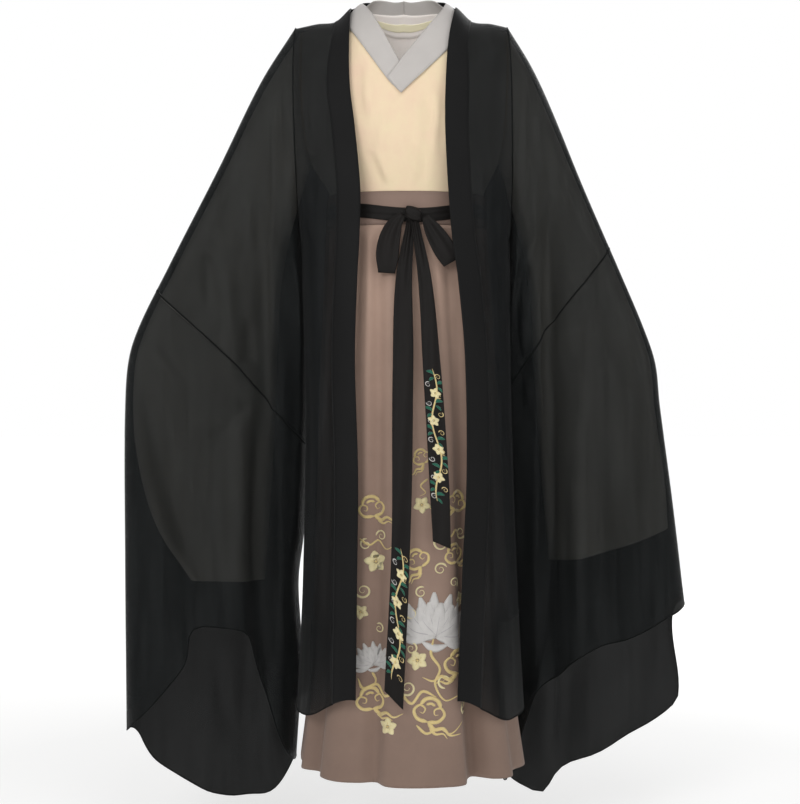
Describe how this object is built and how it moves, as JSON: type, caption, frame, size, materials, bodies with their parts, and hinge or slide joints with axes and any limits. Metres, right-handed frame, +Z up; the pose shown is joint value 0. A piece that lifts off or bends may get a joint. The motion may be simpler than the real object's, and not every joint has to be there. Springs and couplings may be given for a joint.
{
  "type": "hanfu set of open wide-sleeved robe, cross-collar top and tied skirt",
  "caption": "Open black wide-sleeved robe over a cream cross-collar top and a long mauve skirt tied with a black ribbon bow, hollow and filled out as worn",
  "frame": {"origin": "the middle of the wearer's neck, level with the shoulders, where the wearer holds the garment up", "axes": "+Z up, -Y the front, +X the wearer's left"},
  "size_m": [1.0425, 0.42, 1.5208],
  "materials": {
    "black_chiffon": "sheer black chiffon, matt, hanging in soft folds",
    "black_band": "doubled black chiffon band, matt",
    "cream_cloth": "soft cream cloth with a faint sheen",
    "grey_collar": "pale grey satin collar strip",
    "mauve_cloth": "mauve-brown cloth, matt",
    "mauve_waistband": "stiffened mauve-brown waistband, matt",
    "black_ribbon": "black ribbon with a faint sheen"
  },
  "bodies": {
    "root": {"robe_back": "black_chiffon", "robe_front_r": "black_chiffon", "robe_front_l": "black_chiffon", "robe_band_r": "black_band", "robe_band_l": "black_band", "robe_sleeve_front_r": "black_chiffon", "robe_sleeve_front_l": "black_chiffon", "robe_sleeve_back_r": "black_chiffon", "robe_sleeve_back_l": "black_chiffon", "robe_sleeve_end_front_r": "black_chiffon", "robe_sleeve_end_front_l": "black_chiffon", "robe_sleeve_end_back_r": "black_chiffon", "robe_sleeve_end_back_l": "black_chiffon", "top_front": "cream_cloth", "top_back": "cream_cloth", "top_sleeve_front_r": "cream_cloth", "top_sleeve_front_l": "cream_cloth", "top_sleeve_back_r": "cream_cloth", "top_sleeve_back_l": "cream_cloth", "top_collar_r": "grey_collar", "top_collar_l": "grey_collar", "skirt_front": "mauve_cloth", "skirt_back": "mauve_cloth", "skirt_waistband": "mauve_waistband", "belt_round_waist": "black_ribbon", "belt_knot": "black_ribbon", "belt_loop_r": "black_ribbon", "belt_loop_l": "black_ribbon", "belt_tail_long": "black_ribbon", "belt_tail_short": "black_ribbon"}
  },
  "joints": []
}
